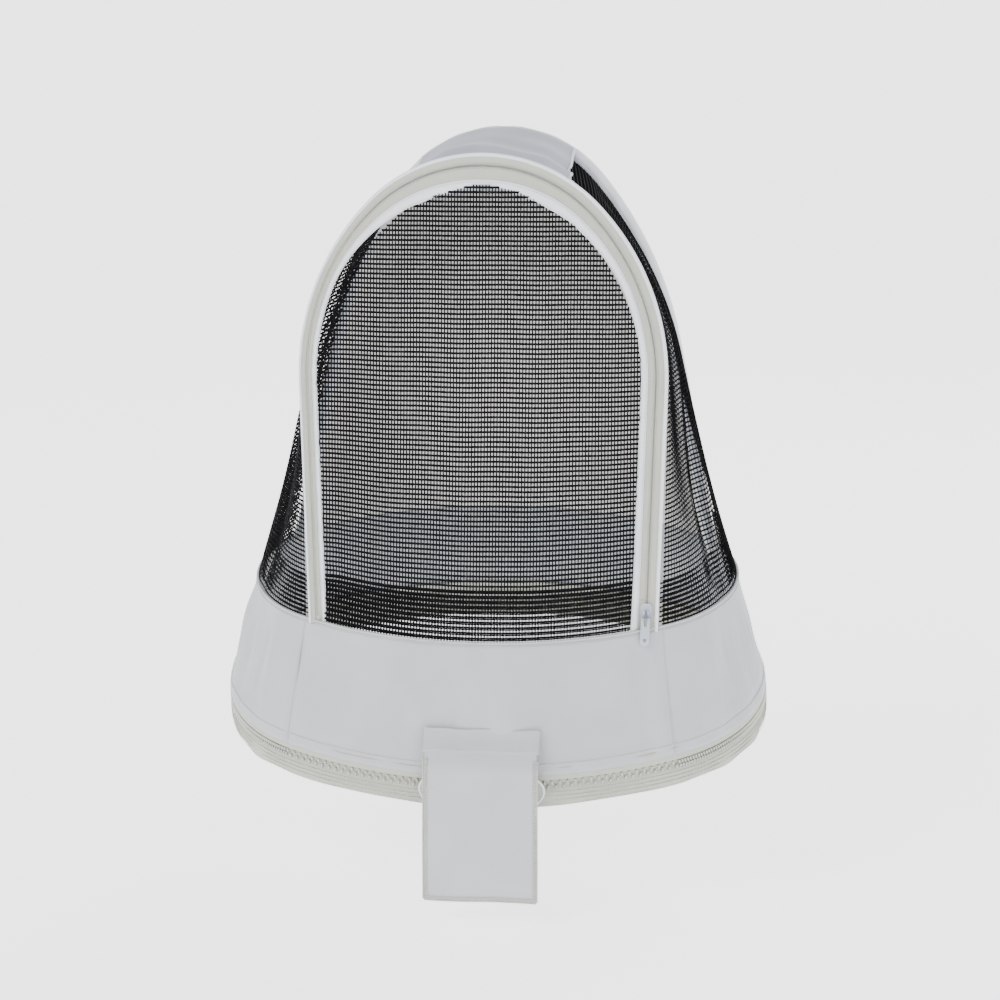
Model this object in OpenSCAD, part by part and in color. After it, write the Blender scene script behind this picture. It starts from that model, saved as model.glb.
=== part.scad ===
// Detachable fencing-style veil hood of a beekeeper's suit.
// Origin at the centre of the collar zip's ring, +Z up, the face looks along -Y, millimetres.

/* [Hoops] */
// Height of the front hoop's top above the collar ring
front_top = 431; // [400:1:450]
// Radius of the front hoop's top arc
front_top_r = 122; // [110:1:130]
// Radius of the front hoop's shoulders
front_side_r = 190; // [180:1:200]
// Height of the rear hoop's top above the collar ring
rear_top = 449; // [430:1:460]
// Radius of the rear hoop's top arc
rear_top_r = 103; // [95:1:110]
// Radius of the rear hoop's shoulders
rear_side_r = 300; // [280:1:320]
// Distance of the front rod ahead of the origin
front_rod_y = 86; // [84:1:88]
// Distance of the rear rod behind the origin
rear_rod_y = 50; // [46:1:54]
// Diameter of the sprung rods
rod_d = 3; // [2:0.5:4]
// Outer diameter of the fabric channels round the rods
channel_d = 11; // [9:0.5:11]

/* [Neck] */
// Half width of the collar zip's ring
collar_a = 216; // [205:1:225]
// Half depth of the collar zip's ring
collar_b = 150; // [145:1:152]
// Half width of the seam between skirt and veil
seam_a = 193; // [190:1:196]
// Half depth of the seam between skirt and veil
seam_b = 128; // [126:1:130]
// Height of the seam's centre
seam_z = 94; // [90:1:96]
// Width of the collar zip's lower tape
lower_tape_w = 15; // [10:1:18]

/* [Cloth] */
// Thickness of the sewn cloth panels
cloth_t = 1.6; // [1:0.1:2]
// Thickness of the woven net panels
net_t = 1.2; // [0.8:0.1:1.6]
// Angle on each side of the top that the crown panel spans
crown_angle = 34; // [28:1:40]
// How far the net bows forward at its bottom edge
face_bow = 30; // [24:1:30]

/* [Face zip] */
// Width of the white binding round the face net
binding_w = 7.2; // [6:0.2:9]
// Width of the zip tape on each side of its coil
face_tape_w = 5.5; // [5:0.1:6]
// Length of a slider body
slider_l = 13; // [11:0.5:14]
// Width of a slider body
slider_w = 9; // [8.8:0.1:9.5]
// Length of a pull tab
pull_l = 26; // [20:1:30]
// Width of a pull tab
pull_w = 7; // [5:0.5:8]

/* [Flap] */
// Width of the closure flap
flap_w = 88; // [80:1:95]
// Length of the flap below its hinge line
flap_l = 114; // [100:1:130]
// Sideways place of the flap's centre
flap_x = 6; // [0:1:10]
// Length of the patch that holds the flap
patch_l = 16; // [14:1:17]

/* [Hidden] */

// A gap that keeps neighbouring pieces apart
gap = 0.3;
// Turn of the oval rings' front and back arcs, each way from the middle
ring_turn = 30;
collar_tilt = 18;
seam_tilt = 15;
seam_y = -3;

// Arch: top radius, its half angle, side radius, its end angle, top height
front_arch = [front_top_r, 46, front_side_r, 91.9, front_top];
rear_arch = [rear_top_r, 50, rear_side_r, 79.5, rear_top];
front_foot = 72;
rear_foot = 110;
// The rods run this far inside the arches' outlines
rod_inset = channel_d / 2;

// Ring angles where the hoops stand on the seam
front_foot_turn = 29.5;
rear_foot_turn = 121.5;

// Top of the upper tape above the zip's centre line, and the skirt's lower edge above that
upper_tape_w = 8;
hem_lift = 1;
tooth_h = 2.7;
tooth_t = 2.5;
// Half of the parting between two rows of teeth or coils
parting = 0.5;
tape_t = 0.8;
// The collar zip's rows end on each side of the front middle
zip_start = -2.6;
zip_end = 4.2;

// Face zip, measured inwards from the front arch's outline
zip_plane = -95.7;
zip_line = 0.6 + face_tape_w + 1.6 + parting;
coil_w = 1.6;
coil_t = 2.2;
face_tape_t = 1;
binding_in = zip_line + parting + coil_w + face_tape_w + gap;
binding_t = 2.6;
net_in = binding_in + binding_w + gap;
band_foot = 71;
stop_h = 3;
face_slider_z = 83;
plate_t = 1.2;
row_clear = 0.5;
pin_out = 1.1;
pin_d = 1.1;
stud_d = 2.2;
// Extra diameter of a bore round its pin
running_fit = 0.15;
pull_t = 1.2;
// The face zip's pull leans out this far to hang over the skirt
pull_lean = 9;

white_cloth = [0.78, 0.80, 0.82];
white_band = [0.86, 0.89, 0.92];
cream_tape = [0.74, 0.74, 0.70];
black_net = [0.12, 0.12, 0.13];
rod_steel = [0.55, 0.57, 0.60];
plastic_white = [0.80, 0.81, 0.80];
slider_grey = [0.62, 0.64, 0.68];

// ---------------------------------------------------------------- outlines

// Point of a four-arc oval of half axes a and b, grown by e, where its normal is turned by p
function oval(a, b, e, p) =
    let (q = p > 180 ? p - 360 : p,
         d = (a - b) / (sin(ring_turn) + cos(ring_turn) - 1),
         side_r = a - d * sin(ring_turn),
         end_r = side_r + d,
         s = q < 0 ? -1 : 1)
    abs(q) <= ring_turn
        ? [(end_r + e) * sin(q), d * cos(ring_turn) - (end_r + e) * cos(q)]
        : abs(q) <= 180 - ring_turn
            ? [s * d * sin(ring_turn) + (side_r + e) * sin(q), -(side_r + e) * cos(q)]
            : [(end_r + e) * sin(q), -d * cos(ring_turn) - (end_r + e) * cos(q)];

// A point of the seam's tilted plane, w above it
function on_seam(p, w) = [p[0],
    seam_y + p[1] * cos(seam_tilt) - w * sin(seam_tilt),
    seam_z + p[1] * sin(seam_tilt) + w * cos(seam_tilt)];

// A point of the collar's tilted plane, w above it
function on_collar(p, w) = [p[0],
    p[1] * cos(collar_tilt) - w * sin(collar_tilt),
    p[1] * sin(collar_tilt) + w * cos(collar_tilt)];

function seam_point(p, e = 0, w = 0) = on_seam(oval(seam_a, seam_b, e, p), w);
function collar_point(p, e = 0, w = 0) = on_collar(oval(collar_a, collar_b, e, p), w);

// Height of the seam's plane at a depth y
function seam_height(y) = seam_z + (y - seam_y) * tan(seam_tilt);

// Centre height of an arch's top arc, and centre of its side arc
function arch_c1(A) = A[4] - A[0];
function arch_c2(A) = [(A[0] - A[2]) * sin(A[1]), arch_c1(A) + (A[0] - A[2]) * cos(A[1])];

// Point of an arch, o inside its outline, where its normal is turned by t from upright
function arch_turned(A, o, t) =
    t <= A[1]
        ? [(A[0] - o) * sin(t), arch_c1(A) + (A[0] - o) * cos(t)]
        : [arch_c2(A)[0] + (A[2] - o) * sin(t), arch_c2(A)[1] + (A[2] - o) * cos(t)];

// Point of an arch's straight leg at the height z
function arch_leg(A, o, z) =
    let (p = arch_turned(A, o, A[3]))
    [p[0] + (p[1] - z) * cos(A[3]) / sin(A[3]), z];

// Half width of an arch at the height z
function arch_x(A, o, z) =
    let (c1 = arch_c1(A), c2 = arch_c2(A),
         z1 = c1 + (A[0] - o) * cos(A[1]),
         z2 = c2[1] + (A[2] - o) * cos(A[3]))
    z >= z1 ? sqrt(max(0, pow(A[0] - o, 2) - pow(z - c1, 2)))
    : z >= z2 ? c2[0] + sqrt(pow(A[2] - o, 2) - pow(z - c2[1], 2))
    : arch_leg(A, o, z)[0];

// Right half of an arch from a foot at height z to the top
function arch_half(A, o, z) = concat(
    [arch_leg(A, o, z)],
    [for (i = [0:8]) arch_turned(A, o, A[3] + (A[1] - A[3]) * i / 8)],
    [for (i = [1:8]) arch_turned(A, o, A[1] * (1 - i / 8))]);

function reversed(pts) = [for (i = [len(pts) - 1:-1:0]) pts[i]];
function mirrored(pts) = [for (p = reversed(pts)) [-p[0], p[1]]];

// Whole arch from a right foot at height zr to a left foot at height zl
function arch_line(A, o, zr, zl) =
    let (left = mirrored(arch_half(A, o, zl)))
    concat(arch_half(A, o, zr), [for (i = [1:len(left) - 1]) left[i]]);

// Point of an arch at the share s of the way from its foot to the angle t_end
function arch_share(A, o, foot, t_end, s) =
    let (leg = (arch_turned(A, o, A[3])[1] - foot) / sin(A[3]),
         side = (A[2] - o) * (A[3] - A[1]) * PI / 180,
         top = (A[0] - o) * (A[1] - t_end) * PI / 180,
         d = s * (leg + side + top))
    d <= leg ? arch_leg(A, o, foot + d * sin(A[3]))
    : d <= leg + side ? arch_turned(A, o, A[3] - (d - leg) / (A[2] - o) * 180 / PI)
    : arch_turned(A, o, A[1] - (d - leg - side) / (A[0] - o) * 180 / PI);

function upright(p, y) = [p[0], y, p[1]];
function mix(a, b, t) = a + (b - a) * t;
function bezier(a, b, c, d, t) =
    a * pow(1 - t, 3) + 3 * b * t * pow(1 - t, 2) + 3 * c * pow(t, 2) * (1 - t) + d * pow(t, 3);

// ---------------------------------------------------------------- builders

function grid_normal(g, i, j) =
    let (m = len(g) - 1, n = len(g[0]) - 1,
         v = cross(g[min(i + 1, m)][j] - g[max(i - 1, 0)][j],
                   g[i][min(j + 1, n)] - g[i][max(j - 1, 0)]))
    v / norm(v);

// Closed shell of thickness t behind a grid of points, whose rows crossed with columns point out
module shell(g, t) {
    m = len(g) - 1;
    n = len(g[0]) - 1;
    back = (m + 1) * (n + 1);
    outer = [for (i = [0:m]) for (j = [0:n]) g[i][j]];
    inner = [for (i = [0:m]) for (j = [0:n]) g[i][j] - t * grid_normal(g, i, j)];
    quads = concat(
        [for (i = [0:m - 1]) for (j = [0:n - 1]) let (a = i * (n + 1) + j)
            [a, a + 1, a + n + 2, a + n + 1]],
        [for (i = [0:m - 1]) for (j = [0:n - 1]) let (a = back + i * (n + 1) + j)
            [a + n + 1, a + n + 2, a + 1, a]],
        [for (i = [0:m - 1]) let (a = i * (n + 1), d = a + n + 1) [a, d, d + back, a + back]],
        [for (i = [0:m - 1]) let (b = i * (n + 1) + n, c = b + n + 1) [c, b, b + back, c + back]],
        [for (j = [0:n - 1]) [j + 1, j, j + back, j + 1 + back]],
        [for (j = [0:n - 1]) let (d = m * (n + 1) + j) [d, d + 1, d + 1 + back, d + back]]);
    polyhedron(points = concat(outer, inner),
               faces = in_triangles(quads));
}

module in_upright_plane(y) { translate([0, y, 0]) rotate([90, 0, 0]) children(); }
module in_collar_plane() { rotate([collar_tilt, 0, 0]) children(); }

// Flat band between two insets of the front arch, centred on the zip's plane
module arch_band(o0, o1, t, zr, zl) {
    in_upright_plane(zip_plane + t / 2) linear_extrude(t)
        polygon(concat(arch_line(front_arch, o0, zr, zl),
                       reversed(arch_line(front_arch, o1, zr, zl))));
}

// Round rod along an arch, or a tube when the bore d0 is above zero, standing at the height foot
module arch_tube(A, y, d0, d1, foot) {
    sides = 16;
    outer = arch_rings(A, y, d1 / 2, foot, sides);
    inner = arch_rings(A, y, d0 / 2, foot, sides);
    m = len(outer) / sides - 1;
    back = d0 > 0 ? len(outer) : 0;
    skin = [for (i = [0:m - 1]) for (k = [0:sides - 1])
        let (a = i * sides + k, b = i * sides + (k + 1) % sides) [a, b, b + sides, a + sides]];
    lining = [for (q = skin) reversed(q) + back * [1, 1, 1, 1]];
    ends = [for (k = [0:sides - 1]) let (n = (k + 1) % sides, z = m * sides)
        each [[k, k + back, n + back, n], [z + k, z + n, z + n + back, z + k + back]]];
    polyhedron(points = d0 > 0 ? concat(outer, inner) : outer,
               faces = d0 > 0
                   ? in_triangles(concat(skin, lining, ends))
                   : concat(in_triangles(skin),
                            [[for (k = [sides - 1:-1:0]) k], [for (k = [0:sides - 1]) m * sides + k]]));
}

// Rings of points round an arch's rod, one ring for each point of its outline
function arch_rings(A, y, r, foot, sides) =
    let (lines = [for (k = [0:sides - 1])
            arch_line(A, rod_inset - r * cos(360 * k / sides), foot, foot)])
    [for (i = [0:len(lines[0]) - 1]) for (k = [0:sides - 1])
        upright(lines[k][i], y + r * sin(360 * k / sides))];

function in_triangles(quads) = [for (q = quads) each [[q[0], q[1], q[2]], [q[0], q[2], q[3]]]];

// Band round the collar ring between two offsets and two heights, from turn p0 to turn p1
module collar_band(e0, e1, w0, w1, p0, p1) {
    steps = max(2, round((p1 - p0) / 3));
    outer = [for (i = [0:steps]) oval(collar_a, collar_b, e1, p0 + (p1 - p0) * i / steps)];
    inner = [for (i = [steps:-1:0]) oval(collar_a, collar_b, e0, p0 + (p1 - p0) * i / steps)];
    in_collar_plane() translate([0, 0, w0]) linear_extrude(w1 - w0) polygon(concat(outer, inner));
}

// Frame at a turn p of the collar ring: X along the zip, Y outwards, Z across the tape
module at_collar(p) {
    o = oval(collar_a, collar_b, 0, p);
    in_collar_plane() translate([o[0], o[1], 0]) rotate([0, 0, p]) rotate([0, 0, 180]) children();
}

// Frame at a height z of the right leg's zip line: X inwards, Y outwards of the face, Z up the leg
module at_face_zip(z) {
    p = arch_leg(front_arch, zip_line, z);
    translate([p[0], zip_plane, p[1]]) rotate([0, front_arch[3] - 90, 0]) rotate([0, 0, 180])
        children();
}

// Slider straddling a zip that runs along Z, its face towards +Y, its nose up
module slider_body(row_t) {
    plate_y = row_t / 2 + row_clear;
    for (s = [0, 1]) mirror([0, s, 0]) translate([0, plate_y, 0]) slider_plate();
    for (s = [0, 1]) for (m = [0, 1]) mirror([s, 0, 0]) mirror([0, m, 0])
        translate([slider_w / 2 - 0.8, tape_t / 2 + 0.5, -slider_l / 2 + 2])
            cube([0.8, plate_y - tape_t / 2 - 0.4, slider_l - 5]);
    translate([-0.2, -plate_y - 0.1, slider_l / 2 - 3]) cube([0.4, 2 * plate_y + 0.2, 2.4]);
}

// Two ears with a bore along X, for a pull that lifts off the zip
module slider_ears(row_t) {
    y = row_t / 2 + row_clear + plate_t;
    for (s = [0, 1]) mirror([s, 0, 0]) difference() {
        translate([1, y - 0.1, -1.5]) cube([1, 2.3, 3]);
        translate([0.5, y + pin_out, 0]) rotate([0, 90, 0])
            cylinder(d = pin_d + running_fit, h = 2, $fn = 24);
    }
}

// Headed stud along Y, for a pull that swings in the plane of the zip
module slider_stud(row_t) {
    translate([0, row_t / 2 + row_clear + plate_t - 0.1, 0]) rotate([-90, 0, 0]) {
        cylinder(d = stud_d, h = 2.3, $fn = 32);
        translate([0, 0, 1.95]) cylinder(d = stud_d + 1.6, h = 0.4, $fn = 32);
    }
}

module slider_plate() {
    rotate([-90, 0, 0]) linear_extrude(plate_t) {
        square([slider_w - 2, slider_l], center = true);
        square([slider_w, slider_l - 5], center = true);
        for (x = [-1, 1]) for (z = [-1, 1])
            translate([x * (slider_w / 2 - 1.25), z * (slider_l / 2 - 2.5)])
                circle(r = 1.25, $fn = 24);
    }
}

// Blade of a pull tab that hangs along -Z, with a slot and a hole
module pull_blade() {
    difference() {
        union() {
            translate([-pull_w / 2, -pull_l + pull_w / 2])
                square([pull_w, pull_l - pull_w / 2 - 4]);
            translate([0, -pull_l + pull_w / 2]) circle(d = pull_w, $fn = 32);
        }
        translate([0, -pull_l + pull_w / 2 + 1]) circle(d = 3, $fn = 24);
        translate([-1, -11]) square([2, 5]);
    }
}

// Pull tab on a pin along X through its top end
module pinned_pull() {
    rotate([0, 90, 0]) cylinder(d = pin_d, h = 4.4, center = true, $fn = 24);
    rotate([90, 0, 0]) linear_extrude(pull_t, center = true) {
        translate([-0.8, -5]) square([1.6, 5]);
        pull_blade();
    }
}

// Pull tab with an eye that turns on a stud along Y
module eyed_pull() {
    rotate([90, 0, 0]) linear_extrude(pull_t, center = true) {
        difference() {
            union() {
                circle(d = stud_d + 3, $fn = 32);
                translate([-1.2, -5]) square([2.4, 4]);
            }
            circle(d = stud_d + running_fit, $fn = 32);
        }
        pull_blade();
    }
}

// ---------------------------------------------------------------- hoops

module front_hoop_rod() {
    color(rod_steel) arch_tube(front_arch, -front_rod_y, 0, rod_d, front_foot);
}

module rear_hoop_rod() {
    color(rod_steel) arch_tube(rear_arch, rear_rod_y, 0, rod_d, rear_foot);
}

// Moulded caps on the rod's two ends
module rod_caps(A, y, foot) {
    for (s = [0, 1]) mirror([s, 0, 0]) translate(upright(arch_leg(A, rod_inset, foot), y))
        translate([0, 0, -7]) cylinder(d = 5, h = 7, $fn = 32);
}

module front_hoop_caps() {
    color(plastic_white) rod_caps(front_arch, -front_rod_y, front_foot - gap);
}

module rear_hoop_caps() {
    color(plastic_white) rod_caps(rear_arch, rear_rod_y, rear_foot - gap);
}

module front_channel() {
    color(white_band)
        arch_tube(front_arch, -front_rod_y, rod_d + 2 * gap, channel_d, front_foot + 4);
}

module rear_channel() {
    color(white_band) arch_tube(rear_arch, rear_rod_y, rod_d + 2 * gap, channel_d, rear_foot + 4);
}

// ---------------------------------------------------------------- upper panels

front_edge_y = -front_rod_y + channel_d / 2 + gap;
rear_edge_y = rear_rod_y - channel_d / 2 - gap;

module crown_panel() {
    rows = 12;
    g = [for (i = [0:rows]) let (t = -crown_angle + 2 * crown_angle * i / rows, s = t < 0 ? -1 : 1)
        [for (j = [0:4])
            let (f = arch_turned(front_arch, 0, abs(t)), r = arch_turned(rear_arch, 0, abs(t)))
            mix(upright([s * f[0], f[1]], front_edge_y), upright([s * r[0], r[1]], rear_edge_y),
                j / 4)]];
    color(white_cloth) shell([for (i = [rows:-1:0]) g[i]], cloth_t);
}

// Net between the hoops on the right side, from the seam up to the crown panel
module side_mesh() {
    rows = 16;
    cols = 6;
    last = crown_angle + 0.4;
    g = [for (i = [0:rows]) let (s = i / rows,
             f = upright(arch_share(front_arch, 0, front_foot + 6, last, s), front_edge_y),
             r = upright(arch_share(rear_arch, 0, rear_foot + 5, last, s), rear_edge_y))
        [for (j = [0:cols])
            let (t = j / cols,
                 hem = seam_point(mix(front_foot_turn + 2.5, rear_foot_turn - 3, t), 0, 1),
                 f0 = upright(arch_leg(front_arch, 0, front_foot + 6), front_edge_y),
                 r0 = upright(arch_leg(rear_arch, 0, rear_foot + 5), rear_edge_y))
            mix(f, r, t) + (hem - mix(f0, r0, t)) * pow(1 - s, 1.3)]];
    shell([for (row = g) [for (j = [cols:-1:0]) row[j]]], net_t);
}

module side_mesh_right() { color(black_net) side_mesh(); }
module side_mesh_left() { color(black_net) mirror([1, 0, 0]) side_mesh(); }

// Cloth back, hung from the rear hoop and rounded to the back of the neck seam
module back_panel() {
    cols = 24;
    rows = 8;
    hang_y = rear_rod_y + channel_d / 2 + gap;
    g = [for (i = [0:cols]) let (u = 1 - 2 * i / cols, s = u < 0 ? -1 : 1,
             a = arch_share(rear_arch, 0, rear_foot + 5, 0, 1 - abs(u)),
             top = upright([s * a[0], a[1]], hang_y),
             foot = seam_point(180 - (180 - rear_foot_turn - 2.5) * u, 0, 1),
             drop = top[2] - foot[2])
        [for (j = [0:rows])
            bezier(top, top + [0, 18 + 0.19 * drop, 0],
                   foot + [0, 0.05 * drop, 0.6 * drop], foot, j / rows)]];
    color(white_cloth) shell([for (i = [cols:-1:0]) g[i]], cloth_t);
}

// ---------------------------------------------------------------- skirt

module skirt(p0, p1, steps) {
    g = [for (i = [0:2]) [for (j = [0:steps]) let (p = mix(p0, p1, j / steps))
        mix(seam_point(p), collar_point(p, 0.8, upper_tape_w + hem_lift), i / 2)]];
    shell([for (i = [2:-1:0]) [for (j = [steps:-1:0]) g[i][j]]], cloth_t);
}

module skirt_front() { color(white_cloth) skirt(-front_foot_turn, front_foot_turn, 16); }
module skirt_back() {
    color(white_cloth) skirt(front_foot_turn + 0.2, 359.8 - front_foot_turn, 72);
}

// ---------------------------------------------------------------- collar zip

row_0 = parting;
row_1 = parting + tooth_h;

module collar_tape_upper() {
    color(cream_tape) collar_band(-tape_t / 2, tape_t / 2, row_1, upper_tape_w,
                                  zip_end, 360 + zip_start);
}

module collar_teeth_upper() {
    color(plastic_white) collar_band(-tooth_t / 2, tooth_t / 2, row_0, row_1,
                                     zip_end, 360 + zip_start);
}

module collar_teeth_lower() {
    color(plastic_white) collar_band(-tooth_t / 2, tooth_t / 2, -row_1, -row_0,
                                     zip_end, 360 + zip_start);
}

module collar_tape_lower() {
    color(cream_tape) collar_band(-tape_t / 2, tape_t / 2, -row_1 - lower_tape_w, -row_1,
                                  zip_end, 360 + zip_start);
}

module collar_retainer_box() {
    color(plastic_white)
        collar_band(-2, 2, -row_1 - 3, row_1 + 2, zip_start + 0.05, zip_start + 1.5);
}

// One stop at the end of each row
module collar_top_stops() {
    color(slider_grey) for (w = [-row_1, row_0])
        collar_band(-1.5, 1.5, w, w + tooth_h, zip_end - 0.7, zip_end - 0.05);
}

slider_turn = zip_end + 1.3;

module collar_slider() {
    color(slider_grey) at_collar(slider_turn) rotate([0, 90, 0]) {
        slider_body(tooth_t);
        slider_stud(tooth_t);
    }
}

module collar_pull() {
    color(slider_grey) at_collar(slider_turn)
        translate([0, tooth_t / 2 + row_clear + plate_t + pin_out, 0]) eyed_pull();
}

// ---------------------------------------------------------------- guard over the zip's ends

guard_w = 96;
guard_h = 26;
guard_out = 6.2;
guard_t = 1;
guard_piping = 2.4;

module guard_outline(grow) {
    r = guard_h / 2 + grow;
    square([guard_w - guard_h, 2 * r], center = true);
    for (s = [-1, 1]) translate([s * (guard_w - guard_h) / 2, 0]) circle(r = r, $fn = 48);
}

module guard_slice(e0, e1, w0, w1) {
    intersection() {
        collar_band(e0, e1, w0, w1, -14, 14);
        in_collar_plane() translate([flap_x, 0, -1]) rotate([90, 0, 0])
            linear_extrude(200) children();
    }
}

module zip_guard_patch() {
    color(white_band)
        guard_slice(guard_out, guard_out + guard_t, -guard_h, guard_h) guard_outline(-guard_piping);
}

module zip_guard_piping() {
    color(cream_tape) guard_slice(guard_out - 0.4, guard_out + guard_t + 0.4, -guard_h, guard_h)
        difference() {
            guard_outline(0);
            guard_outline(-guard_piping);
        }
}

// ---------------------------------------------------------------- closure flap

hinge_y = -149;
hinge_z = -18;
flap_t = 2;
flap_knee_y = -156.5;
flap_knee_z = -34;
binding_edge = 3;

// Profile of the flap seen from its side, thickened towards the back
module flap_profile(t) {
    polygon([[hinge_y - 1, hinge_z], [flap_knee_y, flap_knee_z], [flap_knee_y, hinge_z - flap_l],
             [flap_knee_y + t, hinge_z - flap_l], [flap_knee_y + t, flap_knee_z + 0.4],
             [hinge_y - 1 + t, hinge_z]]);
}

// Sheet of the flap's profile between two sideways places
module flap_strip(x0, x1, t) {
    translate([flap_x + x0, 0, 0]) rotate([90, 0, 90]) linear_extrude(x1 - x0) flap_profile(t);
}

module flap_panel() {
    color(white_cloth) difference() {
        flap_strip(-flap_w / 2 + binding_edge, flap_w / 2 - binding_edge, flap_t);
        translate([flap_x - flap_w / 2, -200, hinge_z - flap_l - 1])
            cube([flap_w, 100, binding_edge + 1]);
    }
}

module flap_binding() {
    color(cream_tape) {
        for (s = [0, 1]) translate([2 * flap_x * s, 0, 0]) mirror([s, 0, 0])
            flap_strip(flap_w / 2 - binding_edge, flap_w / 2, flap_t);
        intersection() {
            flap_strip(-flap_w / 2, flap_w / 2, flap_t);
            translate([flap_x - flap_w / 2, -200, hinge_z - flap_l - 1])
                cube([flap_w, 100, binding_edge + 1]);
        }
    }
}

hook_pad_w = 50;
hook_pad_h = 40;
hook_pad_t = 1.6;

module flap_hook_pad() {
    color(white_band) translate([flap_x - hook_pad_w / 2, flap_knee_y + flap_t,
                                 hinge_z - flap_l + 8])
        cube([hook_pad_w, hook_pad_t, hook_pad_h]);
}

// Patch sewn to the skirt, from which the flap hangs
module flap_anchor_patch() {
    top_y = -141.4;
    top_z = hinge_z + patch_l;
    color(white_cloth) translate([flap_x - flap_w / 2, 0, 0]) rotate([90, 0, 90])
        linear_extrude(flap_w)
            polygon([[top_y, top_z], [hinge_y - 1, hinge_z + gap], [hinge_y + 1, hinge_z + gap],
                     [top_y + 1.4, top_z]]);
}

// ---------------------------------------------------------------- face zip

coil_in = zip_line - parting - coil_w;
coil_out = zip_line + parting + coil_w;
slider_top = face_slider_z + slider_l / 2 + 2;

module face_zip_outer_tape() {
    color(cream_tape) arch_band(coil_in - face_tape_w, coil_in, face_tape_t, band_foot, band_foot);
}

module face_zip_outer_coil() {
    color(cream_tape) arch_band(coil_in, zip_line - parting, coil_t,
                                band_foot + stop_h + gap, band_foot + stop_h + gap);
}

module face_zip_inner_coil() {
    color(cream_tape) arch_band(zip_line + parting, coil_out, coil_t, slider_top, band_foot + 2);
}

module face_zip_inner_tape() {
    color(cream_tape) arch_band(coil_out, coil_out + face_tape_w, face_tape_t,
                                slider_top, band_foot + 2);
}

module face_binding() {
    color(white_band) arch_band(binding_in, binding_in + binding_w, binding_t,
                                band_foot + 2, band_foot + 2);
}

module face_zip_stops() {
    color(slider_grey) for (s = [0, 1]) mirror([s, 0, 0]) at_face_zip(band_foot + stop_h / 2)
        translate([-parting - coil_w, -coil_t / 2, -stop_h / 2])
            cube([coil_w, coil_t, stop_h - 0.2]);
}

// Net of the face panel, bowed forward to the front of the neck seam
module face_mesh() {
    rows = 16;
    cols = 14;
    low = seam_height(zip_plane) + 1.5;
    high = front_top - net_in - 1;
    g = [for (i = [0:rows]) let (
             s = 1 - pow(1 - i / rows, 1.5),
             z = mix(low, high, s),
             half = max(14, arch_x(front_arch, net_in, z)),
             bow = 3 + (face_bow - 3) * pow(1 - s, 1.5))
        [for (j = [0:cols]) let (
             u = -1 + 2 * j / cols,
             y = zip_plane - bow * (1 - pow(abs(u), 2.4)))
            [u * half, y, z + (seam_height(y) - seam_height(zip_plane)) * pow(1 - s, 2)]]];
    color(black_net) shell([for (row = g) [for (j = [cols:-1:0]) row[j]]], net_t);
}

module face_slider() {
    color(slider_grey) at_face_zip(face_slider_z) {
        slider_body(coil_t);
        slider_ears(coil_t);
    }
}

module face_pull() {
    color(slider_grey) at_face_zip(face_slider_z)
        translate([0, coil_t / 2 + row_clear + plate_t + pin_out, 0])
            rotate([pull_lean, 0, 0]) pinned_pull();
}

front_hoop_rod();
rear_hoop_rod();
front_hoop_caps();
rear_hoop_caps();
front_channel();
rear_channel();
crown_panel();
side_mesh_left();
side_mesh_right();
back_panel();
skirt_front();
skirt_back();
collar_tape_upper();
collar_teeth_upper();
collar_teeth_lower();
collar_tape_lower();
collar_retainer_box();
collar_top_stops();
zip_guard_patch();
zip_guard_piping();
flap_anchor_patch();
face_zip_outer_tape();
face_zip_outer_coil();
face_zip_stops();
face_mesh();
face_binding();
face_zip_inner_tape();
face_zip_inner_coil();
face_slider();
face_pull();
flap_panel();
flap_binding();
flap_hook_pad();
collar_slider();
collar_pull();
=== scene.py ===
import math
import bpy
import bmesh
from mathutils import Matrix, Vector
from mathutils.noise import noise as perlin


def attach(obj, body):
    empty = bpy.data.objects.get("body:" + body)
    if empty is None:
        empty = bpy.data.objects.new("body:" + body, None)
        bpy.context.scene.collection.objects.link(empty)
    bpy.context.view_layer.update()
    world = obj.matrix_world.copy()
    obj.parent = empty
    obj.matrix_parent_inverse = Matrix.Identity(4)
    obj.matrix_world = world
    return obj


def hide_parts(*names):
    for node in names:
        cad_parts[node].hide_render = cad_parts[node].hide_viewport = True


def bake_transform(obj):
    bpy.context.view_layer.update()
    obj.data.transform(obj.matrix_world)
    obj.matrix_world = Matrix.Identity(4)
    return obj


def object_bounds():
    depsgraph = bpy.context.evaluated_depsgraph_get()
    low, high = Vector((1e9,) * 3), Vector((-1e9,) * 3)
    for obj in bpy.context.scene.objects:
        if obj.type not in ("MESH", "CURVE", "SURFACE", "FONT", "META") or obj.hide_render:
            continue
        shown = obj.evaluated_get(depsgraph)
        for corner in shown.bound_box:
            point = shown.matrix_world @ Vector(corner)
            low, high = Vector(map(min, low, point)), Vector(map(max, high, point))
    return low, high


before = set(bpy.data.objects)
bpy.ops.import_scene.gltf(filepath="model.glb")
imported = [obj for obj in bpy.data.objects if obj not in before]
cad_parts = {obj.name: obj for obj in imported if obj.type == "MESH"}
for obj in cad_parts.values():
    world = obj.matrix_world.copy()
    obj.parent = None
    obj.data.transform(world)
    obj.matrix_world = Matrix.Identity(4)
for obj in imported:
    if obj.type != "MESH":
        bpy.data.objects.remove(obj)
cad_box = [list(p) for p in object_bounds()]

# ------------------------------------------------------------ the CAD's own formulas, in metres

MM = 0.001
# A ring is an oval in a tilted plane: half width, half depth, tilt, centre
RING_TURN = math.radians(30)
COLLAR = (216 * MM, 150 * MM, math.radians(18), (0, 0, 0))
SEAM = (193 * MM, 128 * MM, math.radians(15), (0, -3 * MM, 94 * MM))
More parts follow.
